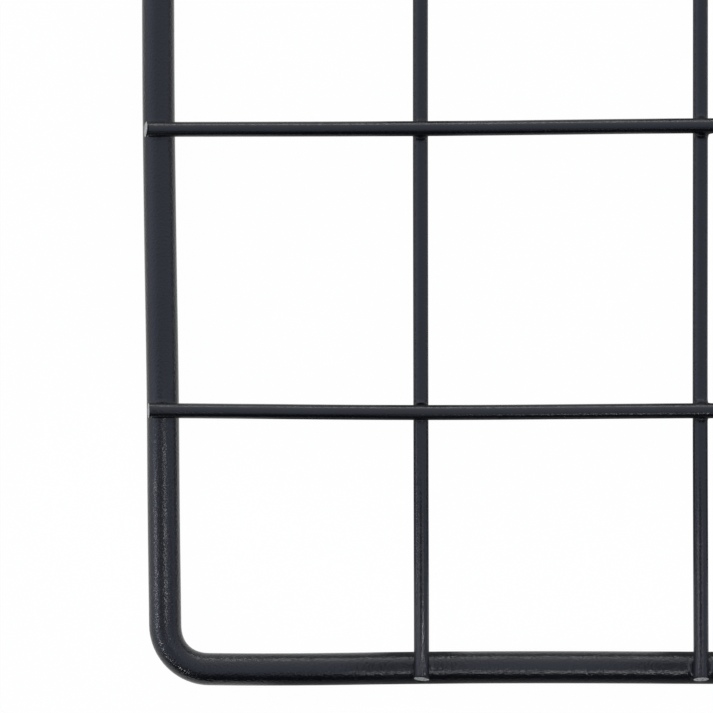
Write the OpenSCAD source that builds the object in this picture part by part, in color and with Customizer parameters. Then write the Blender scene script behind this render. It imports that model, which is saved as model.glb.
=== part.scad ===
// Welded wire mesh panel. A thick border rod is bent round into a closed ring with four
// rounded corners. A grid of thin wires is resistance-welded to one face of it: line wires
// run the long way and lie on the rod, and cross wires run the short way and lie on them.
// The panel lies on a level floor with its mesh face up, its long side along Y, and the
// origin on the floor under its middle. Every diameter is over the coating.

/* [Panel] */
// Outside width, along the cross wires
panel_w = 450; // [350:10:600]
// Outside length, along the line wires
panel_l = 650; // [450:10:900]

/* [Border rod] */
// Diameter of the border rod
rod_d = 5.8; // [4.6:0.1:8]
// Bend radius of the four corners, at the rod's centreline
corner_r = 7.8; // [6:0.2:20]

/* [Mesh wires] */
// Distance between neighbouring wires, centre to centre, both ways
pitch = 50.1; // [40:0.1:80]
// Diameter of the mesh wires
wire_d = 2.7; // [2:0.1:4]
// Flat sides of each mesh wire
wire_sides = 12; // [8:4:12]

/* [Welds] */
// How far a wire sinks into the border rod at a weld
rod_bite = 0.5; // [0.3:0.05:0.8]
// How far a cross wire sinks into a line wire at a weld
wire_bite = 0.5; // [0.3:0.05:0.8]

/* [Wire ends] */
// Distance from the rod's outer side to the tip of each wire
end_inset = 0.25; // [0:0.05:1.5]
// Lean of the sheared wire ends, so that their cut faces look a little upwards
cut_lean = 17.5; // [0:0.5:25]
// Straight length of a cross wire beyond the last line wire, and before the rod
bend_lead = 4; // [3:0.5:8]

/* [Hidden] */

ROD_BLACK = [0.13, 0.135, 0.15];
WIRE_BLACK = [0.11, 0.115, 0.13];

rod_facets = 64;

// The wires nearest the border keep about one pitch from the panel's outside.
line_count = round(panel_w / pitch) - 1;
cross_count = round(panel_l / pitch) - 1;
line_span = (line_count - 1) * pitch;

// Centreline of the border rod.
rod_x = (panel_w - rod_d) / 2;
rod_y = (panel_l - rod_d) / 2;
rod_z = rod_d / 2;

// Heights of the wires' centrelines: where they lie on the rod, and where a cross wire
// lies on the line wires.
seat_z = rod_d + wire_d / 2 - rod_bite;
cross_z = seat_z + wire_d - wire_bite;

// A cross wire is straight over the line wires, slopes down beyond the last one, and is
// straight again across the rod. These are its centreline's points as [x, height], with
// the height taken from a wire that lies on the rod.
bend_drop = cross_z - seat_z;
bend_top = line_span / 2 + bend_lead;
bend_foot = rod_x - bend_lead;
cross_path = [
    [-panel_w / 2, 0],
    [-bend_foot, 0],
    [-bend_top, bend_drop],
    [bend_top, bend_drop],
    [bend_foot, 0],
    [panel_w / 2, 0]
];
line_path = [[-panel_l / 2, 0], [panel_l / 2, 0]];

// Places of count wires, a pitch apart and centred on the panel.
function places(count) = [for (i = [0 : count - 1]) (i - (count - 1) / 2) * pitch];

// A band as high as a wire, that follows a centreline seen from the side.
module side_view(path) {
    upper = [for (p = path) [p[0], p[1] + wire_d / 2]];
    lower = [for (i = [len(path) - 1 : -1 : 0]) [path[i][0], path[i][1] - wire_d / 2]];
    polygon(concat(upper, lower));
}

// A wire along X that follows a centreline, bends and all in one piece. It is what an
// upright band as thick as the wire has in common with wider bands turned about the wire,
// one for each pair of its sloping sides. A turned band sees less of the bends' height.
module wire(path) {
    step = 360 / wire_sides;
    wide = 2 * (bend_drop + wire_d);
    translate([0, 0, seat_z])
        intersection_for (angle = [step - 90 : step : 90 - step])
            rotate([90 + angle, 0, 0])
                linear_extrude(angle == 0 ? wire_d : wide, center = true)
                    side_view([for (p = path) [p[0], p[1] * cos(angle)]]);
}

// One straight side of the border rod, along X.
module rod_side(length) {
    rotate([0, 90, 0])
        cylinder(d = rod_d, h = length, center = true, $fn = rod_facets);
}

// One bent corner of the border rod, round the origin, in the first quadrant.
module rod_corner() {
    rotate_extrude(angle = 90, $fn = rod_facets)
        translate([corner_r, 0])
            circle(d = rod_d, $fn = rod_facets);
}

module rod_ring() {
    straight_x = rod_x - corner_r;
    straight_y = rod_y - corner_r;
    translate([0, 0, rod_z])
        for (flip_x = [0, 1], flip_y = [0, 1])
            mirror([flip_x, 0, 0]) mirror([0, flip_y, 0]) {
                translate([straight_x, straight_y, 0]) rod_corner();
                if (flip_x == 0)
                    translate([0, rod_y, 0]) rod_side(2 * straight_x);
                if (flip_y == 0)
                    translate([rod_x, 0, 0]) rotate([0, 0, 90]) rod_side(2 * straight_y);
            }
}

// The shear that trims the wires along the side at +X, as a block outside its cutting plane.
module shear(half_width, length) {
    blade = 4 * wire_d;
    translate([half_width - end_inset, 0, seat_z - wire_d / 2])
        rotate([0, -cut_lean, 0])
            translate([0, -length / 2, -wire_d])
                cube([blade, length, blade]);
}

module shears() {
    for (turn = [0, 180])
        rotate([0, 0, turn]) {
            shear(panel_w / 2, panel_l);
            rotate([0, 0, 90]) shear(panel_l / 2, panel_w);
        }
}

module border_rod() {
    color(ROD_BLACK) rod_ring();
}

// All the thin wires, fused where they cross, trimmed at their ends and seated in the rod.
module wire_mesh() {
    color(WIRE_BLACK)
        difference() {
            union() {
                for (x = places(line_count)) translate([x, 0, 0]) rotate([0, 0, 90]) wire(line_path);
                for (y = places(cross_count)) translate([0, y, 0]) wire(cross_path);
            }
            rod_ring();
            shears();
        }
}

border_rod();
wire_mesh();
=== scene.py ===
# %% [markdown]
# # A welded wire mesh panel
#
# The panel is a grid of thin steel wires welded to one face of a thicker border rod, and
# the whole of it is coated in satin black powder. It lies on a white floor, and the camera
# looks straight down on one of its corners.
#
# The measured model comes first. Every size below is read from it, so the dressed panel
# lies exactly where the measured one does.

import math

import bpy
import numpy as np
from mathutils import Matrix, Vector


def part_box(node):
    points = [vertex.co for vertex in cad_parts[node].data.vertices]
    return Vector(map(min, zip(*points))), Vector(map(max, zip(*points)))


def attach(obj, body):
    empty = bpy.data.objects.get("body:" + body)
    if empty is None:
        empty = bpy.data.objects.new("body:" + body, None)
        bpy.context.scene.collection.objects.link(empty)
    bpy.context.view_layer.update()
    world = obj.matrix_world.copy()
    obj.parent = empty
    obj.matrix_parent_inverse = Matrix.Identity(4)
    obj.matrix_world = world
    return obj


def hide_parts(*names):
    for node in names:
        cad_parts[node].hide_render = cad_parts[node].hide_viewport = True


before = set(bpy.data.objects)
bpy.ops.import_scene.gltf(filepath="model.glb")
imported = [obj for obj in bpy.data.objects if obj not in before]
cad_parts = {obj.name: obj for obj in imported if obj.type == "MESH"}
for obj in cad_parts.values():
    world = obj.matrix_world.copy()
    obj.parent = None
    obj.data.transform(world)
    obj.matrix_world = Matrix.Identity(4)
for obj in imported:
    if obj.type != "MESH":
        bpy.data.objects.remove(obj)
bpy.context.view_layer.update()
print("measured nodes:", sorted(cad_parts))

# %% Read the panel's sizes
MM = 0.001

rod_low, rod_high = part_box("border_rod")
mesh_low, mesh_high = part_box("wire_mesh")

PANEL_WIDTH = rod_high.x - rod_low.x
PANEL_LENGTH = rod_high.y - rod_low.y
ROD_RADIUS = (rod_high.z - rod_low.z) / 2
ROD_HEIGHT = rod_low.z + ROD_RADIUS
CORNER_RADIUS = 7.8 * MM

WIRE_RADIUS = 1.35 * MM
LINE_HEIGHT = mesh_low.z + WIRE_RADIUS
CROSS_HEIGHT = mesh_high.z - WIRE_RADIUS

ROD_X = PANEL_WIDTH / 2 - ROD_RADIUS
ROD_Y = PANEL_LENGTH / 2 - ROD_RADIUS
print(f"panel {PANEL_WIDTH / MM:.1f} by {PANEL_LENGTH / MM:.1f} mm, rod {2 * ROD_RADIUS / MM:.2f} mm")
print(f"line wires at {LINE_HEIGHT / MM:.2f} mm, cross wires at {CROSS_HEIGHT / MM:.2f} mm")

# %% Place the wires
PITCH = 50.1 * MM
LINE_COUNT = 8
CROSS_COUNT = 12

LINE_X = (np.arange(LINE_COUNT) - (LINE_COUNT - 1) / 2) * PITCH
CROSS_Y = (np.arange(CROSS_COUNT) - (CROSS_COUNT - 1) / 2) * PITCH
print("line wires from", LINE_X[0] / MM, "mm, cross wires from", CROSS_Y[0] / MM, "mm")

# %% [markdown]
# ## The camera
#
# A flat panel shows its true proportions when the camera's sensor is parallel to it. A long
# lens, far away, then keeps the rod and the wires in front of it at the same scale. The
# frame takes in one corner of the panel, with two wires each way.

# %% Look straight down on one corner
VIEW_WIDTH = 713 / 5.6 * MM
VIEW_X = -186.55 * MM
VIEW_Y = -265.94 * MM
LENS = 300
SENSOR = 36

camera_data = bpy.data.cameras.new("camera")
camera_data.lens = LENS
camera_data.sensor_width = SENSOR
camera_data.clip_end = 20
camera = bpy.data.objects.new("camera", camera_data)
camera_distance = VIEW_WIDTH * LENS / SENSOR
camera.location = (VIEW_X, VIEW_Y, LINE_HEIGHT + camera_distance)
bpy.context.scene.collection.objects.link(camera)
bpy.context.scene.camera = camera
print(f"camera {camera_distance:.3f} m above the wires")

# %% [markdown]
# ## Nothing welded is quite straight
#
# Wire comes off a coil, and the heat of the welds pulls the rod about, so no bar is a ruled
# line. The nearest corner leans in by a millimetre, and the wires wander by a few tenths
# between their welds. A wander is a few offsets in millimetres, one at each weld, with a
# smooth curve between them. Those that the camera sees are listed one by one, and the
# others come from a seeded random generator, so that they are the same in each run.

# %% A smooth curve through a few offsets
def smooth_curve(places, offsets):
    """Returns a function that eases from each offset to the next."""
    places = np.asarray(places, float)
    offsets = np.asarray(offsets, float) * MM

    def value(at):
        at = np.clip(np.asarray(at, float), places[0], places[-1])
        step = np.clip(np.searchsorted(places, at, side="right") - 1, 0, len(places) - 2)
        share = (at - places[step]) / (places[step + 1] - places[step])
        slope = np.gradient(offsets, places)
        width = places[step + 1] - places[step]
        a = offsets[step] * (1 + 2 * share) * (1 - share) ** 2
        b = offsets[step + 1] * share**2 * (3 - 2 * share)
        c = slope[step] * width * share * (1 - share) ** 2
        d = slope[step + 1] * width * share**2 * (share - 1)
        return a + b + c + d

    return value


# %% The border rod's lean, always inward
rng = np.random.default_rng(7)

SIDE_PLACES = np.array([-325, -312, -293, -273, -246, -222, -203, 0, 200, 290, 325]) * MM
LEFT_LEAN = smooth_curve(SIDE_PLACES, [1.42, 1.25, 1.0, 0.84, 0.41, 0.1, 0, 0.05, 0, 0.2, 0.35])
RIGHT_LEAN = smooth_curve(SIDE_PLACES, [0.4, 0.35, 0.3, 0.2, 0.1, 0.05, 0, 0.1, 0, 0.3, 0.45])
END_PLACES = np.array([-225, -208, -195, -181, -165, -150, -128, 0, 120, 200, 225]) * MM
BOTTOM_LEAN = smooth_curve(END_PLACES, [0.28, 0.08, 0.12, 0.32, 0.46, 0.48, 0.39, 0.1, 0, 0.2, 0.3])
TOP_LEAN = smooth_curve(END_PLACES, [0.3, 0.25, 0.2, 0.15, 0.1, 0.05, 0, 0.1, 0, 0.25, 0.35])


def rod_shift(x, y):
    """How far a point of the border rod is from its ruled place."""
    across = np.clip(x / PANEL_WIDTH + 0.5, 0, 1)
    along = np.clip(y / PANEL_LENGTH + 0.5, 0, 1)
    shift_x = (1 - across) * LEFT_LEAN(y) - across * RIGHT_LEAN(y)
    shift_y = (1 - along) * BOTTOM_LEAN(x) - along * TOP_LEAN(x)
    return shift_x, shift_y


def rail_x(side, y):
    """The middle of the left (-1) or right (1) rail at a height y of the panel."""
    return -ROD_X + LEFT_LEAN(y) if side < 0 else ROD_X - RIGHT_LEAN(y)


def rail_y(side, x):
    """The middle of the bottom (-1) or top (1) rail at a place x across the panel."""
    return -ROD_Y + BOTTOM_LEAN(x) if side < 0 else ROD_Y - TOP_LEAN(x)


# %% The wires' wander
WANDER = 0.16

line_places = np.concatenate([[-ROD_Y], CROSS_Y, [ROD_Y]])
cross_places = np.concatenate([[-ROD_X], LINE_X, [ROD_X]])
line_offsets = rng.normal(0, WANDER, (LINE_COUNT, CROSS_COUNT + 2))
cross_offsets = rng.normal(0, WANDER, (CROSS_COUNT, LINE_COUNT + 2))
line_offsets[0, :4] = [0.42, 0.30, 0.21, 0.19]
line_offsets[1, :4] = [0.24, 0.07, 0.10, 0.08]
cross_offsets[0, :4] = [-0.05, -0.37, -0.06, 0.10]
cross_offsets[1, :4] = [0.07, 0.12, 0.62, 0.70]
cross_offsets[2, :4] = [0.05, 0.10, 0.30, 0.30]

LINE_WANDER = [smooth_curve(line_places, row) for row in line_offsets]
CROSS_WANDER = [smooth_curve(cross_places, row) for row in cross_offsets]
print("largest wander", round(float(max(abs(line_offsets).max(), abs(cross_offsets).max())), 2), "mm")

# %% Where each wire's middle is
BEND_LEAD = 4 * MM
BEND_SOFTNESS = 4 * MM
bend_top = LINE_X[-1] + BEND_LEAD
bend_foot = ROD_X - BEND_LEAD


def line_middle(number, y):
    """A line wire's middle, as x and height, at y."""
    y = np.asarray(y, float)
    return LINE_X[number] + LINE_WANDER[number](y), np.full_like(y, LINE_HEIGHT)


def cross_middle(number, x):
    """A cross wire's middle, as y and height, at x. It steps down to the rod at both ends."""
    x = np.asarray(x, float)
    height = np.zeros_like(x)
    softened = np.linspace(-BEND_SOFTNESS, BEND_SOFTNESS, 7)
    for nudge in softened:
        down = np.clip((np.abs(x + nudge) - bend_top) / (bend_foot - bend_top), 0, 1)
        height += CROSS_HEIGHT + (LINE_HEIGHT - CROSS_HEIGHT) * down
    return CROSS_Y[number] + CROSS_WANDER[number](x), height / len(softened)


# %% [markdown]
# ## Welds that flow together
#
# A resistance weld has no bead of filler. The wires sink into each other, a thin lip of
# steel is squeezed out round the joint, and the powder melts into a small fillet in every
# corner. The bars could be joined with Booleans and bevelled, but rounding a saddle-shaped
# seam that way often tears. Here each bar stays a swept tube, and its own surface is pushed
# out where another bar is close, by the amount that a soft union of the two would have. The
# two tubes then meet along a smooth valley.

# %% Push a surface out towards its neighbour
def soften(points, normals, distance, blend):
    """Moves points outward to where they lie on the soft union with a neighbour.

    distance(points) is how far a point is from the neighbour's surface, and blend is the
    width of the fillet.
    """
    push = np.zeros(len(points))
    for _ in range(8):
        gap = distance(points + normals * push[:, None])
        share = np.clip(1 - np.abs(push - gap) / blend, 0, 1)
        push = share**2 * blend / 4
    return points + normals * push[:, None]


def lip(points, middle, reach_x, reach_y, height, width, normals):
    """Raises the lip of squeezed-out steel, an oval ridge round the middle of a weld.

    height is a pair: the ridge's height on its near side, at -Y, and on its far side.
    """
    ring = np.hypot((points[:, 0] - middle[0]) / reach_x, (points[:, 1] - middle[1]) / reach_y)
    side = np.clip(0.5 + (points[:, 1] - middle[1]) / reach_y, 0, 1)
    rise = (height[0] + (height[1] - height[0]) * side) * np.exp(-(((ring - 1) / width) ** 2))
    return points + normals * (rise * np.clip(normals[:, 2] * 2, 0, 1))[:, None]


# %% Rings along a bar, close together where it is welded
def stations(start, end, welds, reach, fine, coarse):
    """Places along a bar: a coarse step, and a fine one within reach of each weld."""
    places = list(np.linspace(start, end, max(2, int(round((end - start) / coarse)) + 1)))
    for weld in welds:
        places += list(np.arange(weld - reach, weld + reach + fine / 2, fine))
    places = np.array(sorted(p for p in places if start <= p <= end))
    keep = [places[0]]
    for place in places[1:-1]:
        if place - keep[-1] > fine * 0.6:
            keep.append(place)
    if places[-1] - keep[-1] < fine * 0.6:
        keep.pop()
    keep.append(places[-1])
    return np.array(keep)


def tube_mesh(name, tubes, closed=False):
    """Joins swept tubes into one mesh. Each tube is (rings, caps): its rings of points in
    order, and for an open tube the extra rings that close its first and last end."""
    vertices = []
    faces = []
    marks = []
    base = 0
    for rings, start_cap, end_cap in tubes:
        count, sides = rings.shape[:2]
        stack = np.concatenate([start_cap[::-1], rings, end_cap]) if not closed else rings
        layers = len(stack)
        vertices.append(stack.reshape(-1, 3))
        spans = layers if closed else layers - 1
        for layer in range(spans):
            upper = (layer + 1) % layers
            cut = not closed and (layer < len(start_cap) or layer >= len(start_cap) + count - 1)
            for side in range(sides):
                other = (side + 1) % sides
                faces.append(
                    (
                        base + layer * sides + side,
                        base + layer * sides + other,
                        base + upper * sides + other,
                        base + upper * sides + side,
                    )
                )
                marks.append(cut)
        if not closed:
            faces.append(tuple(base + side for side in reversed(range(sides))))
            faces.append(tuple(base + (layers - 1) * sides + side for side in range(sides)))
            marks += [True, True]
        base += layers * sides
    mesh = bpy.data.meshes.new(name)
    mesh.from_pydata(np.concatenate(vertices).tolist(), [], faces)
    mesh.polygons.foreach_set("material_index", np.array(marks, np.int32))
    mesh.polygons.foreach_set("use_smooth", np.ones(len(faces), bool))
    mesh.validate()
    piece = bpy.data.objects.new(name, mesh)
    bpy.context.scene.collection.objects.link(piece)
    print(f"{name}: {len(mesh.vertices)} points, {len(mesh.polygons)} faces")
    return piece


# %% [markdown]
# ## The border rod
#
# The rod is one bar bent into a ring. It is swept along its own centreline: four straight
# sides and four quarter turns. The rings of the sweep are close together in the bends and
# at each weld, where the surface has to rise to meet a wire.

# %% The rod's centreline
ROD_SIDES = 48
ROD_COARSE = 5 * MM
ROD_FINE = 0.3 * MM
ROD_WELD_REACH = 3.2 * MM
BEND_STEPS = 20
BEND_FLAT = 0.24 * MM

straight_x = ROD_X - CORNER_RADIUS
straight_y = ROD_Y - CORNER_RADIUS


def side_points(start, end, welds):
    """Points, outward directions and flattening along one straight side."""
    start = np.array(start)
    end = np.array(end)
    length = np.linalg.norm(end - start)
    direction = (end - start) / length
    along = stations(0, length, welds, ROD_WELD_REACH, ROD_FINE, ROD_COARSE)[:-1]
    outward = np.array([direction[1], -direction[0]])
    points = start + along[:, None] * direction
    return points, np.repeat(outward[None], len(along), 0), np.zeros(len(along))


def bend_points(middle, start_angle):
    """Points, outward directions and flattening round one quarter turn."""
    share = np.arange(BEND_STEPS) / BEND_STEPS
    turn = math.radians(start_angle) + share * math.pi / 2
    outward = np.stack([np.cos(turn), np.sin(turn)], 1)
    flat = BEND_FLAT * np.sin(share * math.pi) ** 2
    return np.array(middle) + CORNER_RADIUS * outward, outward, flat


line_welds = [LINE_X[n] for n in range(LINE_COUNT)]
cross_welds = [CROSS_Y[n] for n in range(CROSS_COUNT)]
route = [
    side_points((-straight_x, -ROD_Y), (straight_x, -ROD_Y), [straight_x + w for w in line_welds]),
    bend_points((straight_x, -straight_y), 270),
    side_points((ROD_X, -straight_y), (ROD_X, straight_y), [straight_y + w for w in cross_welds]),
    bend_points((straight_x, straight_y), 0),
    side_points((straight_x, ROD_Y), (-straight_x, ROD_Y), [straight_x + w for w in line_welds]),
    bend_points((-straight_x, straight_y), 90),
    side_points((-ROD_X, straight_y), (-ROD_X, -straight_y), [straight_y + w for w in cross_welds]),
    bend_points((-straight_x, -straight_y), 180),
]
rod_middle, rod_outward, rod_flat = (np.concatenate(parts) for parts in zip(*route))
print("rod rings:", len(rod_middle))

# %% Sweep the rod
around = np.arange(ROD_SIDES) / ROD_SIDES * 2 * math.pi
rod_normals = np.zeros((len(rod_middle), ROD_SIDES, 3))
rod_normals[:, :, 0] = rod_outward[:, None, 0] * np.cos(around)
rod_normals[:, :, 1] = rod_outward[:, None, 1] * np.cos(around)
rod_normals[:, :, 2] = np.sin(around)
shift_x, shift_y = rod_shift(rod_middle[:, 0], rod_middle[:, 1])
centre = np.stack([rod_middle[:, 0] + shift_x, rod_middle[:, 1] + shift_y], 1)
rod_points = rod_normals * ROD_RADIUS
pressed_in = rod_flat[:, None] * np.clip(-np.cos(around), 0, 1) ** 2
rod_points[:, :, :2] += rod_outward[:, None, :] * pressed_in[:, :, None]
rod_points[:, :, :2] += centre[:, None, :]
rod_points[:, :, 2] += ROD_HEIGHT

# %% Raise the rod's surface round each wire
ROD_BLEND = 0.42 * MM
LIP_HEIGHT = 0.13 * MM
LIP_WIDTH = 0.1
NEAR_WELD = 5 * MM

flat_points = rod_points.reshape(-1, 3)
flat_normals = rod_normals.reshape(-1, 3)


def weld_on_rod(middle, distance, reach, blend, proud=1):
    """Shapes the rod's surface near one weld. proud raises its lip."""
    near = np.hypot(flat_points[:, 0] - middle[0], flat_points[:, 1] - middle[1]) < NEAR_WELD
    near &= flat_normals[:, 2] > -0.1
    points = flat_points[near]
    normals = flat_normals[near]
    height = proud * LIP_HEIGHT * rng.uniform(0.4, 1.2, 2)
    points = lip(points, middle, reach[0], reach[1], height, LIP_WIDTH, normals)
    flat_points[near] = soften(points, normals, distance, blend)


for side in (-1, 1):
    for number in range(LINE_COUNT):
        place_x = float(line_middle(number, side * ROD_Y)[0])
        weld_on_rod(
            (place_x, float(rail_y(side, place_x))),
            lambda p, n=number: np.hypot(p[:, 0] - line_middle(n, p[:, 1])[0], p[:, 2] - LINE_HEIGHT)
            - WIRE_RADIUS,
            (1.85 * MM, 2.15 * MM) if number == 1 else (1.62 * MM, 2.5 * MM),
            ROD_BLEND * rng.uniform(0.7, 1.4),
            2.2 if number == 1 else 1,
        )
    for number in range(CROSS_COUNT):
        place_y = float(cross_middle(number, side * ROD_X)[0])
        weld_on_rod(
            (float(rail_x(side, place_y)), place_y),
            lambda p, n=number: np.hypot(
                p[:, 1] - cross_middle(n, p[:, 0])[0], p[:, 2] - cross_middle(n, p[:, 0])[1]
            )
            - WIRE_RADIUS,
            (2.5 * MM, 1.55 * MM),
            ROD_BLEND * rng.uniform(0.7, 1.4),
            1.8 if number < 2 else 1,
        )

no_cap = np.zeros((0, ROD_SIDES, 3))
rod_rings = flat_points.reshape(rod_points.shape)
rod = tube_mesh("border_rod_coated", [(rod_rings[:, ::-1], no_cap, no_cap)], closed=True)

# %% [markdown]
# ## The wires
#
# Each wire is a tube too. Where it is welded to the rod it has been pressed flat and wide by
# the electrode, and its end is sheared off at a slant just inside the rod's outer side, so
# the face of the cut looks a little upward. The last rings of the tube are slid along the
# wire until they lie in the plane of the cut, and a few smaller rings close the end.

# %% Sweep one wire
WIRE_SIDES = 24
WIRE_FINE = 0.2 * MM
WIRE_COARSE = 5 * MM
CROSSING_REACH = 2.8 * MM
WEB_REACH = 4.4 * MM
WIRE_BLEND = 1.0 * MM
END_FLARE = 0.01
END_FLAT = 0.05
FLARE_LENGTH = 5 * MM

wire_around = np.arange(WIRE_SIDES) / WIRE_SIDES * 2 * math.pi


def ease(share):
    """Goes smoothly from 0 to 1 as share does."""
    share = np.clip(share, 0, 1)
    return share * share * (3 - 2 * share)


def wire_rings(along, sideways, height, start, end):
    """A wire's rings in its own directions: along it, sideways and up, with its normals."""
    reach = np.minimum(along - start, end - along)
    pressed = ease(1 - reach / FLARE_LENGTH)[:, None]
    cos = np.cos(wire_around)[None]
    sin = np.sin(wire_around)[None]
    rings = np.zeros((len(along), WIRE_SIDES, 3))
    rings[:, :, 0] = along[:, None]
    rings[:, :, 1] = sideways[:, None] + WIRE_RADIUS * cos * (1 + END_FLARE * pressed)
    rings[:, :, 2] = height[:, None] + WIRE_RADIUS * sin * (1 - END_FLAT * pressed * (sin > 0))
    normals = np.zeros_like(rings)
    normals[:, :, 1] = cos
    normals[:, :, 2] = sin
    return rings, normals


# %% Shear and close a wire's end
CUT_REACH = 1.6 * MM
RIM_ROUND = 0.07 * MM
GROOVE_PLACE = 0.32 * MM
GROOVE_WIDTH = 0.11 * MM


def shear_end(rings, tip, sign, lean, skew, groove, torn_deep):
    """Slides the last rings into the plane of the cut, and returns the rings of its face.

    sign is 1 at the far end of the wire and -1 at its start, tip is the cut's lowest point
    along the wire. The cut leans back by lean, and skew turns it as seen from above. groove
    is the side angle round which the blade has torn a short groove behind the rim, and
    torn_deep is how deep.
    """
    order = rings[::-1] if sign > 0 else rings
    behind = np.abs(order[:, :, 0] - tip)
    middle = order.mean(1, keepdims=True)
    torn = np.exp(-(((behind - GROOVE_PLACE) / GROOVE_WIDTH) ** 2))
    torn *= np.clip(1.3 * np.cos(wire_around - groove) - 0.1, 0, 1)[None]
    spoke = order[:, :, 1:] - middle[:, :, 1:]
    spoke /= np.linalg.norm(spoke, axis=2, keepdims=True)
    order[:, :, 1:] -= spoke * (torn_deep * torn)[:, :, None]
    low = order[0, :, 2].min()
    back = (order[:, :, 2] - low) * math.tan(lean)
    edge_side = np.abs(order[0, :, 1] - order[0, :, 1].mean()).max()
    turned = (order[:, :, 1] - order[0, :, 1].mean()) * math.tan(skew)
    back += turned + abs(math.tan(skew)) * edge_side
    near = ease(1 - behind / CUT_REACH)
    order[:, :, 0] -= sign * back * near
    edge = order[0].copy()
    middle = edge.mean(0)
    face = []
    for share, proud in ((0.95, 1.0), (0.82, 1.35), (0.5, 1.2), (0.18, 1.3)):
        ring = middle + (edge - middle) * share
        ring[:, 0] += sign * RIM_ROUND * proud * 0.5
        ring[:, 0] += rng.normal(0, 0.012 * MM, len(ring)) * (share < 0.9)
        face.append(ring)
    return np.array(face)


# %% How each end was cut
ROD_TIP_INSET = rng.uniform(0.25, 0.75, (2, 2, CROSS_COUNT)) * MM
CUT_LEAN = np.radians(rng.uniform(10, 20, (2, 2, CROSS_COUNT)))
CUT_SKEW = np.radians(rng.normal(0, 5, (2, 2, CROSS_COUNT)))
CUT_GROOVE = np.radians(rng.uniform(30, 150, (2, 2, CROSS_COUNT)))
GROOVE_DEPTH = rng.uniform(0.05, 0.2, (2, 2, CROSS_COUNT)) * MM
LINE_ENDS, CROSS_ENDS = 0, 1
ROD_TIP_INSET[LINE_ENDS, 0, :2] = (0.58 * MM, 0.60 * MM)
CUT_LEAN[LINE_ENDS, 0, :2] = np.radians((15, 16))
CUT_SKEW[LINE_ENDS, 0, :2] = np.radians((-6, 2))
ROD_TIP_INSET[CROSS_ENDS, 0, :2] = (0.30 * MM, 0.25 * MM)
CUT_LEAN[CROSS_ENDS, 0, :2] = np.radians((7, 13))
CUT_SKEW[CROSS_ENDS, 0, :2] = np.radians((0, 4.5))
CUT_GROOVE[CROSS_ENDS, 0, :2] = np.radians((130, 110))
GROOVE_DEPTH[CROSS_ENDS, 0, :2] = (0.07 * MM, 0.18 * MM)


# %% Rings where a wire lies on the rod, and finer ones at its tips
TIP_REACH = 0.8 * MM
TIP_FINE = 0.06 * MM


def with_tips(along, start, end):
    """Adds rings near both ends of a wire, and the finest ones behind the cuts."""
    on_rod = stations(start, end, [start, end], 2.6 * ROD_RADIUS, WIRE_FINE, WIRE_COARSE)
    inner = np.concatenate([along, on_rod])
    inner = np.unique(inner[(inner > start + TIP_REACH) & (inner < end - TIP_REACH)])
    inner = inner[np.concatenate([[True], np.diff(inner) > WIRE_FINE / 2])]
    first = np.arange(start, start + TIP_REACH, TIP_FINE)
    last = end - (first[::-1] - start)
    return np.concatenate([first, inner, last])


# %% The line wires
def line_wire(number):
    """One line wire, welded under every cross wire and on the rod at both ends."""
    inset = ROD_TIP_INSET[LINE_ENDS, :, number]
    start = float(rail_y(-1, LINE_X[number])) - ROD_RADIUS + inset[0]
    end = float(rail_y(1, LINE_X[number])) + ROD_RADIUS - inset[1]
    crossings = [float(cross_middle(n, LINE_X[number])[0]) for n in range(CROSS_COUNT)]
    along = stations(start, end, crossings, CROSSING_REACH, WIRE_FINE, WIRE_COARSE)
    along = with_tips(along, start, end)
    sideways, height = line_middle(number, along)
    rings, normals = wire_rings(along, sideways, height, start, end)
    points = rings[:, :, [1, 0, 2]].reshape(-1, 3)
    outward = normals[:, :, [1, 0, 2]].reshape(-1, 3)
    for row in range(CROSS_COUNT):
        weld_wires(points, outward, number, row, crossings[row], upper=False)
    for side in (-1, 1):
        near = np.abs(points[:, 1] - side * ROD_Y) < 3 * ROD_RADIUS
        points[near] = soften(
            points[near],
            outward[near],
            lambda p, s=side: np.hypot(p[:, 1] - rail_y(s, p[:, 0]), p[:, 2] - ROD_HEIGHT)
            - ROD_RADIUS,
            ROD_BLEND,
        )
    shaped = points[:, [1, 0, 2]].reshape(rings.shape)
    lean = CUT_LEAN[LINE_ENDS, :, number]
    skew = CUT_SKEW[LINE_ENDS, :, number]
    groove = CUT_GROOVE[LINE_ENDS, :, number]
    deep = GROOVE_DEPTH[LINE_ENDS, :, number]
    start_cap = shear_end(shaped, start, -1, lean[0], skew[0], groove[0], deep[0])
    end_cap = shear_end(shaped, end, 1, lean[1], skew[1], groove[1], deep[1])
    return [part[:, :, [1, 0, 2]] for part in (shaped, start_cap, end_cap)]


def corner_size(points, line, cross):
    """How far the weld's web reaches, eased between the four corners of the crossing."""
    middle_x = float(line_middle(line, CROSS_Y[cross])[0])
    middle_y = float(cross_middle(cross, LINE_X[line])[0])
    right = np.clip(0.5 + (points[:, 0] - middle_x) / (2 * WIRE_RADIUS), 0, 1)
    far = np.clip(0.5 + (points[:, 1] - middle_y) / (2 * WIRE_RADIUS), 0, 1)
    near_left, near_right, far_left, far_right = WELD_SIZE[line, cross]
    near_side = near_left + (near_right - near_left) * right
    far_side = far_left + (far_right - far_left) * right
    return near_side + (far_side - near_side) * far


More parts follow.
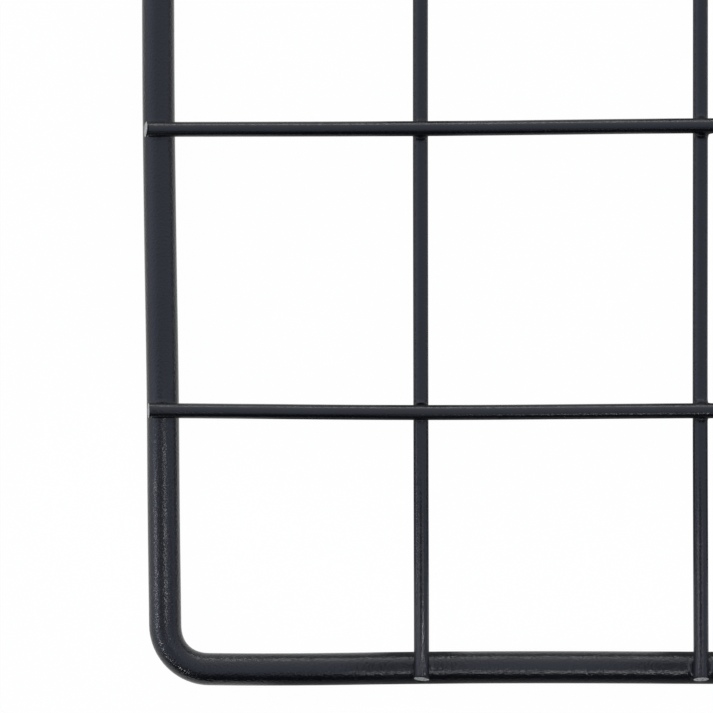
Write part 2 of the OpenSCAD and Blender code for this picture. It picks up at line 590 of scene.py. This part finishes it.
def weld_wires(points, outward, line, cross, crossing, upper):
    """Shapes one wire's surface where a line wire and a cross wire meet."""
    index = 1 if not upper else 0
    near = np.abs(points[:, index] - crossing) < WEB_REACH
    blend = WIRE_BLEND * corner_size(points[near], line, cross)
    if upper:
        distance = lambda p: np.hypot(p[:, 0] - line_middle(line, p[:, 1])[0], p[:, 2] - LINE_HEIGHT)
    else:
        distance = lambda p: np.hypot(
            p[:, 1] - cross_middle(cross, p[:, 0])[0], p[:, 2] - cross_middle(cross, p[:, 0])[1]
        )
        middle = (float(line_middle(line, crossing)[0]), crossing)
        rise = LIP_HEIGHT * LIP_SIZE[line, cross]
        points[near] = lip(
            points[near], middle, 1.3 * MM, 1.84 * MM, rise, LIP_WIDTH, outward[near]
        )
    points[near] = soften(points[near], outward[near], lambda p: distance(p) - WIRE_RADIUS, blend)


WELD_SIZE = rng.uniform(0.5, 1.7, (LINE_COUNT, CROSS_COUNT, 4))
LIP_SIZE = rng.uniform(0, 1.2, (LINE_COUNT, CROSS_COUNT, 2))
WELD_SIZE[0, 0] = (0.8, 0.8, 0.4, 0.4)
WELD_SIZE[0, 1] = (1.5, 1.5, 1.0, 0.8)
WELD_SIZE[1, 0] = (0.7, 1.7, 0.6, 1.8)
WELD_SIZE[1, 1] = (1.2, 2.1, 0.9, 0.3)
LIP_SIZE[0, 0] = (0.6, 2.6)
LIP_SIZE[0, 1] = (0.3, 0.1)
LIP_SIZE[1, 0] = (0.5, 1.2)
LIP_SIZE[1, 1] = (0.8, 1.5)

PRESSED_LENGTH = 11 * MM
PRESSED_WIDTH = 0.7 * WIRE_RADIUS
WRINKLED = rng.uniform(0.3, 0.9, LINE_COUNT)
WRINKLED[:2] = (1.0, 0.45)


def mark_pressed(piece, along, across, rail, middle, strength):
    """Keeps on each point how far the electrode has marked it: near the rails, on top."""
    mesh = piece.data
    places = np.zeros(len(mesh.vertices) * 3)
    mesh.vertices.foreach_get("co", places)
    places = places.reshape(-1, 3)
    from_rail = rail - np.abs(places[:, along])
    from_middle = places[:, across] - middle(places[:, along])
    marked = strength * ease(1 - from_rail / PRESSED_LENGTH)
    marked *= np.exp(-((from_middle / PRESSED_WIDTH) ** 2))
    pressed = mesh.attributes.new("pressed", "FLOAT", "POINT")
    pressed.data.foreach_set("value", marked)

line_wires = []
for number in range(LINE_COUNT):
    rings, first, last = line_wire(number)
    tube = (rings[:, ::-1], first[:, ::-1], last[:, ::-1])
    wire = tube_mesh(f"line_wire_{number + 1}_coated", [tube])
    wander = lambda y, n=number: line_middle(n, y)[0]
    mark_pressed(wire, 1, 0, ROD_Y, wander, WRINKLED[number])
    line_wires.append(wire)

# %% The cross wires
def cross_wire(number):
    """One cross wire, welded over every line wire and on the rod at both ends."""
    inset = ROD_TIP_INSET[CROSS_ENDS, :, number]
    start = float(rail_x(-1, CROSS_Y[number])) - ROD_RADIUS + inset[0]
    end = float(rail_x(1, CROSS_Y[number])) + ROD_RADIUS - inset[1]
    crossings = [float(line_middle(n, CROSS_Y[number])[0]) for n in range(LINE_COUNT)]
    along = stations(start, end, crossings, CROSSING_REACH, WIRE_FINE, WIRE_COARSE / 2)
    along = with_tips(along, start, end)
    sideways, height = cross_middle(number, along)
    rings, normals = wire_rings(along, sideways, height, start, end)
    points = rings.reshape(-1, 3)
    outward = normals.reshape(-1, 3)
    for column in range(LINE_COUNT):
        weld_wires(points, outward, column, number, crossings[column], upper=True)
    for side in (-1, 1):
        near = np.abs(points[:, 0] - side * ROD_X) < 3 * ROD_RADIUS
        points[near] = soften(
            points[near],
            outward[near],
            lambda p, s=side: np.hypot(p[:, 0] - rail_x(s, p[:, 1]), p[:, 2] - ROD_HEIGHT)
            - ROD_RADIUS,
            ROD_BLEND,
        )
    shaped = points.reshape(rings.shape)
    lean = CUT_LEAN[CROSS_ENDS, :, number]
    skew = CUT_SKEW[CROSS_ENDS, :, number]
    groove = CUT_GROOVE[CROSS_ENDS, :, number]
    deep = GROOVE_DEPTH[CROSS_ENDS, :, number]
    start_cap = shear_end(shaped, start, -1, lean[0], skew[0], groove[0], deep[0])
    end_cap = shear_end(shaped, end, 1, lean[1], skew[1], groove[1], deep[1])
    return shaped, start_cap, end_cap


cross_wires = []
for number in range(CROSS_COUNT):
    wire = tube_mesh(f"cross_wire_{number + 1}_coated", [cross_wire(number)])
    wander = lambda x, n=number: cross_middle(n, x)[0]
    mark_pressed(wire, 0, 1, ROD_X, wander, 0.15)
    cross_wires.append(wire)

# %% [markdown]
# ## Satin black powder coat
#
# Powder is sprayed on dry and baked, and it flows into a skin with a fine orange peel. The
# colour is a blue-black, darker than it looks, because much of what the eye sees is the
# room on the satin skin. Two layers of noise make the skin uneven: a broad one for the
# peel, and a fine one for the grain that glints in the highlights. The noise is in the
# object's own coordinates, so that it stays on the steel from every side.

# %% Shader helpers
def node(tree, kind, **settings):
    """Adds a shader node with its settings."""
    made = tree.nodes.new(kind)
    for name, value in settings.items():
        setattr(made, name, value)
    return made


def noise(tree, source, scale, detail, roughness=0.5):
    """A noise texture in the object's coordinates, with scale in waves a metre."""
    made = node(tree, "ShaderNodeTexNoise")
    made.inputs["Scale"].default_value = scale
    made.inputs["Detail"].default_value = detail
    made.inputs["Roughness"].default_value = roughness
    tree.links.new(source, made.inputs["Vector"])
    return made.outputs["Fac"]


def remap(tree, source, low, high, to_low, to_high):
    """Stretches one range of values over another."""
    made = node(tree, "ShaderNodeMapRange")
    for name, value in (
        ("From Min", low),
        ("From Max", high),
        ("To Min", to_low),
        ("To Max", to_high),
    ):
        made.inputs[name].default_value = value
    tree.links.new(source, made.inputs["Value"])
    return made.outputs["Result"]


# %% The coat
COAT_DARK = (0.0034, 0.0036, 0.0046, 1)
COAT_LIGHT = (0.0062, 0.0066, 0.0084, 1)
PEEL_SCALE = 2500
GRAIN_SCALE = 4200
WRINKLE_SCALE = 2600
DRAWN_OUT = 0.5
ROD_PEEL = 0.08 * MM
LINE_PEEL = 0.05 * MM
CROSS_PEEL = 0.03 * MM
GRAIN_DEPTH = 0.015 * MM
WRINKLE_DEPTH = 0.26 * MM
GLOSS_SHARE = 0.7
GLOSS_ROUGHNESS = 0.14


def powder_coat(name, stretch, peel_depth):
    """The satin black skin. stretch squeezes the wrinkles' pattern, so that they run long."""
    material = bpy.data.materials.new(name)
    material.use_nodes = True
    tree = material.node_tree
    skin = tree.nodes["Principled BSDF"]
    where = node(tree, "ShaderNodeTexCoord").outputs["Object"]
    cloud = noise(tree, where, 120, 3)
    peel = noise(tree, where, PEEL_SCALE, 1)
    grain = noise(tree, where, GRAIN_SCALE, 3, 0.6)

    colour = node(tree, "ShaderNodeMix", data_type="RGBA")
    colour.inputs[6].default_value = COAT_DARK
    colour.inputs[7].default_value = COAT_LIGHT
    tree.links.new(remap(tree, cloud, 0.3, 0.7, 0, 1), colour.inputs[0])
    tree.links.new(colour.outputs[2], skin.inputs["Base Color"])
    tree.links.new(remap(tree, grain, 0.3, 0.7, 0.28, 0.40), skin.inputs["Roughness"])

    drawn = node(tree, "ShaderNodeMapping")
    drawn.inputs["Scale"].default_value = stretch
    tree.links.new(where, drawn.inputs["Vector"])
    wrinkle = noise(tree, drawn.outputs["Vector"], WRINKLE_SCALE, 2)
    pressed = node(tree, "ShaderNodeAttribute", attribute_name="pressed")
    depth = node(tree, "ShaderNodeMath", operation="MULTIPLY")
    tree.links.new(pressed.outputs["Fac"], depth.inputs[0])
    tree.links.new(wrinkle, depth.inputs[1])
    relief = node(tree, "ShaderNodeMath", operation="MULTIPLY_ADD")
    relief.inputs[1].default_value = WRINKLE_DEPTH / peel_depth
    tree.links.new(depth.outputs[0], relief.inputs[0])
    tree.links.new(peel, relief.inputs[2])

    broad = node(tree, "ShaderNodeBump")
    broad.inputs["Strength"].default_value = 1
    broad.inputs["Distance"].default_value = peel_depth
    tree.links.new(relief.outputs[0], broad.inputs["Height"])
    fine = node(tree, "ShaderNodeBump")
    fine.inputs["Strength"].default_value = 1
    fine.inputs["Distance"].default_value = GRAIN_DEPTH
    tree.links.new(grain, fine.inputs["Height"])
    tree.links.new(broad.outputs["Normal"], fine.inputs["Normal"])
    tree.links.new(fine.outputs["Normal"], skin.inputs["Normal"])
    tree.links.new(fine.outputs["Normal"], skin.inputs["Coat Normal"])
    skin.inputs["Specular IOR Level"].default_value = 0.5 * (1 - GLOSS_SHARE)
    skin.inputs["Coat Weight"].default_value = GLOSS_SHARE
    skin.inputs["Coat Roughness"].default_value = GLOSS_ROUGHNESS
    return material


# %% The sheared faces
def sheared_steel(name, dark, light):
    """The cut ends, where the powder is thin and the steel's grey shows through."""
    material = bpy.data.materials.new(name)
    material.use_nodes = True
    tree = material.node_tree
    skin = tree.nodes["Principled BSDF"]
    where = node(tree, "ShaderNodeTexCoord").outputs["Object"]
    streak = noise(tree, where, 2600, 4, 0.65)
    colour = node(tree, "ShaderNodeMix", data_type="RGBA")
    colour.inputs[6].default_value = (dark, dark, dark * 0.88, 1)
    colour.inputs[7].default_value = (light, light, light * 0.88, 1)
    tree.links.new(remap(tree, streak, 0.38, 0.5, 0, 1), colour.inputs[0])
    tree.links.new(colour.outputs[2], skin.inputs["Base Color"])
    tree.links.new(remap(tree, streak, 0.3, 0.7, 0.5, 0.35), skin.inputs["Roughness"])
    rough = node(tree, "ShaderNodeBump")
    rough.inputs["Distance"].default_value = 0.02 * MM
    tree.links.new(streak, rough.inputs["Height"])
    tree.links.new(rough.outputs["Normal"], skin.inputs["Normal"])
    skin.inputs["Metallic"].default_value = 0.4
    return material


rod_coat = powder_coat("satin_black_on_rod", (1, 1, 1), ROD_PEEL)
line_coat = powder_coat("satin_black_on_line_wire", (1, DRAWN_OUT, 1), LINE_PEEL)
cross_coat = powder_coat("satin_black_on_cross_wire", (DRAWN_OUT, 1, 1), CROSS_PEEL)
cross_cut = sheared_steel("sheared_end", 0.14, 0.50)
# The line wires' cut faces get a lighter copy of the cut steel: painted light on faces that turn to the
# dark near side.
line_cut_painted_lighter = sheared_steel("sheared_end_painted_lighter", 0.12, 0.72)
for pieces, name, finishes in (
    ([rod], "border_rod", [rod_coat]),
    (line_wires, "wire_mesh", [line_coat, line_cut_painted_lighter]),
    (cross_wires, "wire_mesh", [cross_coat, cross_cut]),
):
    for piece in pieces:
        for finish in finishes:
            piece.data.materials.append(finish)
        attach(piece, "root")
        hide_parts(name)
    print(len(pieces), "of", name, "wear", [finish.name for finish in finishes])

# %% [markdown]
# ## Floor and light
#
# The floor is plain and white. Most of what the camera sees of it is set to white, and a
# share of it is left as a real pale surface, which keeps the panel's soft shadow. In the
# bars' reflections the floor is a painted grey instead: painted shade near the wires and
# the lowest cross wire, and a lighter painted tone by the left rail.

# %% The white floor
FLOOR_SIZE = 6
FLOOR_WHITE = 0.98
# The floor's colour in reflections is painted shade: a grey that changes along the panel's length,
# darkest on the near side of the lowest cross wire and beyond the bottom rail, lighter under it.
FLOOR_PAINTED_SHADE_ALONG = (
    (-0.330, 0.22),
    (-0.318, 0.78),
    (-0.308, 0.65),
    (-0.303, 0.20),
    (-0.282, 0.16),
    (-0.270, 0.50),
    (-0.240, 0.48),
    (-0.215, 0.64),
)
# A lighter painted tone in the floor's reflections, over and just inside the left rail.
FLOOR_PAINTED_LIGHT_BY_RAIL = (0.78, 0.78, 0.79, 1)
# A painted shadow in the floor's reflections, within a few millimetres of each line wire.
FLOOR_PAINTED_SHADOW_BY_WIRE = (0.18, 0.18, 0.18, 1)


def white_floor():
    """A pale floor that looks white to the camera, and shows painted shade and painted light in
    reflections, set by place.
    """
    mesh = bpy.data.meshes.new("floor")
    half = FLOOR_SIZE / 2
    corners = [(-half, -half, 0), (half, -half, 0), (half, half, 0), (-half, half, 0)]
    mesh.from_pydata(corners, [], [(0, 1, 2, 3)])
    floor = bpy.data.objects.new("floor", mesh)
    floor.location.z = -0.05 * MM
    bpy.context.scene.collection.objects.link(floor)
    material = bpy.data.materials.new("white_floor")
    material.use_nodes = True
    tree = material.node_tree
    tree.nodes.clear()
    paint = node(tree, "ShaderNodeBsdfDiffuse")
    paint.inputs["Color"].default_value = (0.9, 0.9, 0.9, 1)
    path = node(tree, "ShaderNodeLightPath")
    tone = node(tree, "ShaderNodeMix", data_type="RGBA")
    tone.inputs[6].default_value = (1, 1, 1, 1)
    place = node(tree, "ShaderNodeSeparateXYZ")
    tree.links.new(node(tree, "ShaderNodeTexCoord").outputs["Object"], place.inputs[0])
    # Painted shade along the panel's length, which only glossy rays see.
    painted_shade_along = node(tree, "ShaderNodeValToRGB")
    stops = painted_shade_along.color_ramp.elements
    while len(stops) < len(FLOOR_PAINTED_SHADE_ALONG):
        stops.new(0.5)
    start = FLOOR_PAINTED_SHADE_ALONG[0][0]
    length = FLOOR_PAINTED_SHADE_ALONG[-1][0] - start
    for stop, (along, grey) in zip(stops, FLOOR_PAINTED_SHADE_ALONG):
        stop.position = (along - start) / length
        stop.color = (grey, grey, grey * 1.01, 1)
    tree.links.new(
        remap(tree, place.outputs["Y"], start, start + length, 0, 1), painted_shade_along.inputs[0]
    )
    shifted = node(tree, "ShaderNodeMath", operation="SUBTRACT")
    shifted.inputs[1].default_value = LINE_X[0] - 10 * PITCH
    tree.links.new(place.outputs["X"], shifted.inputs[0])
    from_wire = node(tree, "ShaderNodeMath", operation="PINGPONG")
    from_wire.inputs[1].default_value = PITCH / 2
    tree.links.new(shifted.outputs[0], from_wire.inputs[0])
    # Painted shadow beside each line wire, as the bars see it in reflection.
    painted_shadow_by_wire = node(tree, "ShaderNodeMix", data_type="RGBA")
    painted_shadow_by_wire.inputs[6].default_value = FLOOR_PAINTED_SHADOW_BY_WIRE
    tree.links.new(remap(tree, from_wire.outputs[0], 0.005, 0.009, 0, 1), painted_shadow_by_wire.inputs[0])
    tree.links.new(painted_shade_along.outputs["Color"], painted_shadow_by_wire.inputs[7])
    # Painted light by the left rail. Glossy rays see these painted tones, and the camera sees white.
    painted_light_by_rail = node(tree, "ShaderNodeMix", data_type="RGBA")
    painted_light_by_rail.inputs[6].default_value = FLOOR_PAINTED_LIGHT_BY_RAIL
    tree.links.new(remap(tree, place.outputs["X"], -0.208, -0.200, 0, 1), painted_light_by_rail.inputs[0])
    tree.links.new(painted_shadow_by_wire.outputs[2], painted_light_by_rail.inputs[7])
    tree.links.new(painted_light_by_rail.outputs[2], tone.inputs[7])
    tree.links.new(path.outputs["Is Glossy Ray"], tone.inputs[0])
    white = node(tree, "ShaderNodeEmission")
    tree.links.new(tone.outputs[2], white.inputs["Color"])
    white.inputs["Strength"].default_value = 1
    seen = node(tree, "ShaderNodeMath", operation="MAXIMUM")
    tree.links.new(path.outputs["Is Camera Ray"], seen.inputs[0])
    tree.links.new(path.outputs["Is Glossy Ray"], seen.inputs[1])
    clear = node(tree, "ShaderNodeMath", operation="MAXIMUM")
    tree.links.new(seen.outputs[0], clear.inputs[0])
    tree.links.new(path.outputs["Is Transmission Ray"], clear.inputs[1])
    share = node(tree, "ShaderNodeMath", operation="MULTIPLY")
    share.inputs[1].default_value = FLOOR_WHITE
    tree.links.new(clear.outputs[0], share.inputs[0])
    mix = node(tree, "ShaderNodeMixShader")
    tree.links.new(share.outputs[0], mix.inputs[0])
    tree.links.new(paint.outputs[0], mix.inputs[1])
    tree.links.new(white.outputs[0], mix.inputs[2])
    out = node(tree, "ShaderNodeOutputMaterial")
    tree.links.new(mix.outputs[0], out.inputs["Surface"])
    mesh.materials.append(material)
    return floor


floor = white_floor()
print("floor", FLOOR_SIZE, "m wide")

# %% [markdown]
# The light comes from all round, as in a white tent, and the world stands for it. The tent
# is brighter on the far side and open to a dark room on the near side. A wire that lies
# across then shows a light band along its far edge and is black along its near one, while
# a wire that lies the other way has one even tone.

# %% The white tent
TENT = (
    (0.14, (0.003, 0.003, 0.004, 1)),
    (0.33, (0.17, 0.185, 0.24, 1)),
    (0.50, (0.22, 0.235, 0.31, 1)),
    (0.78, (0.26, 0.28, 0.33, 1)),
    (0.93, (0.35, 0.365, 0.40, 1)),
    (1.00, (0.50, 0.52, 0.55, 1)),
)
TENT_STRENGTH = 3.1
LEFT_LIFT = 1.5


def white_tent():
    """A world that is light all round and overhead, and dark on the near side."""
    world = bpy.data.worlds.new("tent")
    world.use_nodes = True
    tree = world.node_tree
    sky = tree.nodes["Background"]
    where = node(tree, "ShaderNodeTexCoord").outputs["Generated"]
    split = node(tree, "ShaderNodeSeparateXYZ")
    tree.links.new(where, split.inputs[0])
    ramp = node(tree, "ShaderNodeValToRGB")
    steps = ramp.color_ramp.elements
    while len(steps) < len(TENT):
        steps.new(0.5)
    for step, (place, colour) in zip(steps, TENT):
        step.position = place
        step.color = colour
    tree.links.new(remap(tree, split.outputs["Y"], -1, 1, 0, 1), ramp.inputs[0])
    lift = remap(tree, split.outputs["X"], -1, -0.3, LEFT_LIFT * TENT_STRENGTH, TENT_STRENGTH)
    seen = node(tree, "ShaderNodeLightPath").outputs["Is Camera Ray"]
    colour = node(tree, "ShaderNodeMix", data_type="RGBA")
    colour.inputs[7].default_value = (1, 1, 1, 1)
    tree.links.new(seen, colour.inputs[0])
    tree.links.new(ramp.outputs["Color"], colour.inputs[6])
    tree.links.new(colour.outputs[2], sky.inputs["Color"])
    strength = node(tree, "ShaderNodeMix", data_type="FLOAT")
    strength.inputs[3].default_value = 1
    tree.links.new(seen, strength.inputs[0])
    tree.links.new(lift, strength.inputs[2])
    tree.links.new(strength.outputs[0], sky.inputs["Strength"])
    bpy.context.scene.world = world


white_tent()
bpy.context.scene.view_settings.view_transform = "Standard"

# %% [markdown]
# A thin strip lamp lies beyond the far side, just above the floor. It draws the light band
# on the wires that lie across, and the band is weaker on the wires that are further from
# the lamp. A few small spot lamps stand close to the corner. Each one draws a thin line of
# light along a bar, broken up by the grain of the powder, and reaches no further than that
# bar. The camera sees none of the lamps.

# %% Lamps that the camera doesn't see
def place_lamp(name, data, place, aim):
    """Puts a lamp at a place and turns it to where it aims."""
    made = bpy.data.objects.new(name, data)
    made.location = place
    made.rotation_euler = (Vector(aim) - Vector(place)).to_track_quat("-Z", "Y").to_euler()
    made.visible_camera = False
    bpy.context.scene.collection.objects.link(made)


def small_lamp(name, place, aim, spread, radius, power):
    """A small round spot lamp. spread is the angle of its beam in degrees."""
    data = bpy.data.lights.new(name, "SPOT")
    data.energy = power
    data.shadow_soft_size = radius
    data.spot_size = math.radians(spread)
    data.spot_blend = 0.6
    place_lamp(name, data, place, aim)


def strip_lamp(name, place, aim, spread, length, width, power):
    """A strip lamp, with its length level and square to its aim."""
    data = bpy.data.lights.new(name, "AREA")
    data.shape = "RECTANGLE"
    data.size = length
    data.size_y = width
    data.energy = power
    data.spread = math.radians(spread)
    place_lamp(name, data, place, aim)


# %% The strips
strip_lamp("far_strip", (-0.19, -0.08, 0.045), (-0.19, -0.27, 0.008), 180, 0.30, 0.018, 0.07)
strip_lamp("outer_strip", (-0.333, -0.308, 0.064), (-0.221, -0.308, 0.004), 22, 0.044, 0.010, 0.00021)
strip_lamp("inner_strip", (-0.207, -0.297, 0.080), (-0.221, -0.297, 0.004), 14, 0.034, 0.008, 0.00006)
strip_lamp("near_strip", (-0.142, -0.3575, 0.065), (-0.142, -0.3215, 0.005), 18, 0.090, 0.006, 0.00016)
strip_lamp("weld_strip", (-0.152, -0.3235, 0.062), (-0.1759, -0.3235, 0.008), 11, 0.022, 0.003, 0.00008)

# %% The small lamps near the corner
for name, place, aim, spread, soft, sharp in (
    ("outer_line", (-0.333, -0.315, 0.064), (-0.221, -0.302, 0.004), 26, (0.018, 0.002), (0.004, 0.045)),
    ("inner_line", (-0.207, -0.311, 0.080), (-0.221, -0.293, 0.004), 34, (0.020, 0.001), (0.004, 0.035)),
    ("near_line", (-0.110, -0.472, 0.250), (-0.140, -0.313, 0.005), 27, (0.036, 0.07), (0.009, 0.22)),
):
    small_lamp(name, place, aim, spread, *soft)
    small_lamp(name + "_glints", place, aim, spread, *sharp)

for number in (0, 1):
    wire_x = float(line_middle(number, -0.316)[0])
    for lean, power in ((-41, 0.022 - 0.004 * (number == 0)), (23, 0.012)):
        place = (wire_x + 0.05 * math.tan(math.radians(lean)), -0.316, 0.058)
        small_lamp(f"stripe_{number + 1}_{lean}", place, (wire_x, -0.312, 0.008), 34, 0.02, power)

BEND_LAMP_REACH = 0.135
bend_middle = (-straight_x, -straight_y)
for turn in (28, 58):
    side = BEND_LAMP_REACH * math.cos(math.radians(turn))
    front = BEND_LAMP_REACH * math.sin(math.radians(turn))
    place = (bend_middle[0] - side, bend_middle[1] - front, 0.08)
    small_lamp(f"bend_line_{turn}", place, (*bend_middle, 0.004), 14, 0.006, 0.05)

# %% Grey cards between the lamps, painted dark reflections
def dark_reflection_card(name, middle, width, length, grey):
    """A grey card over a bar that glows and is seen only in the bars' reflections: a painted dark
    reflection that casts no shadow.
    """
    material = bpy.data.materials.new(name)
    material.use_nodes = True
    tree = material.node_tree
    tree.nodes.clear()
    glow = node(tree, "ShaderNodeEmission")
    glow.inputs["Color"].default_value = (grey, grey, grey * 1.15, 1)
    out = node(tree, "ShaderNodeOutputMaterial")
    tree.links.new(glow.outputs[0], out.inputs["Surface"])
    mesh = bpy.data.meshes.new(name)
    x, y = width / 2, length / 2
    mesh.from_pydata([(-x, -y, 0), (x, -y, 0), (x, y, 0), (-x, y, 0)], [], [(0, 1, 2, 3)])
    card = bpy.data.objects.new(name, mesh)
    card.location = middle
    bpy.context.scene.collection.objects.link(card)
    mesh.materials.append(material)
    card.visible_camera = False
    card.visible_diffuse = False
    card.visible_shadow = False


# Painted dark reflections on the left rail's lower part and on the lower ends of the first two line
# wires.
dark_reflection_card("dark_reflection_over_rail", (-0.241, -0.300, 0.055), 0.037, 0.050, 0.34)
dark_reflection_card("dark_reflection_over_line_wire_1", (-0.178, -0.309, 0.037), 0.012, 0.040, 0.22)
dark_reflection_card("dark_reflection_over_line_wire_2", (-0.128, -0.309, 0.037), 0.012, 0.040, 0.26)
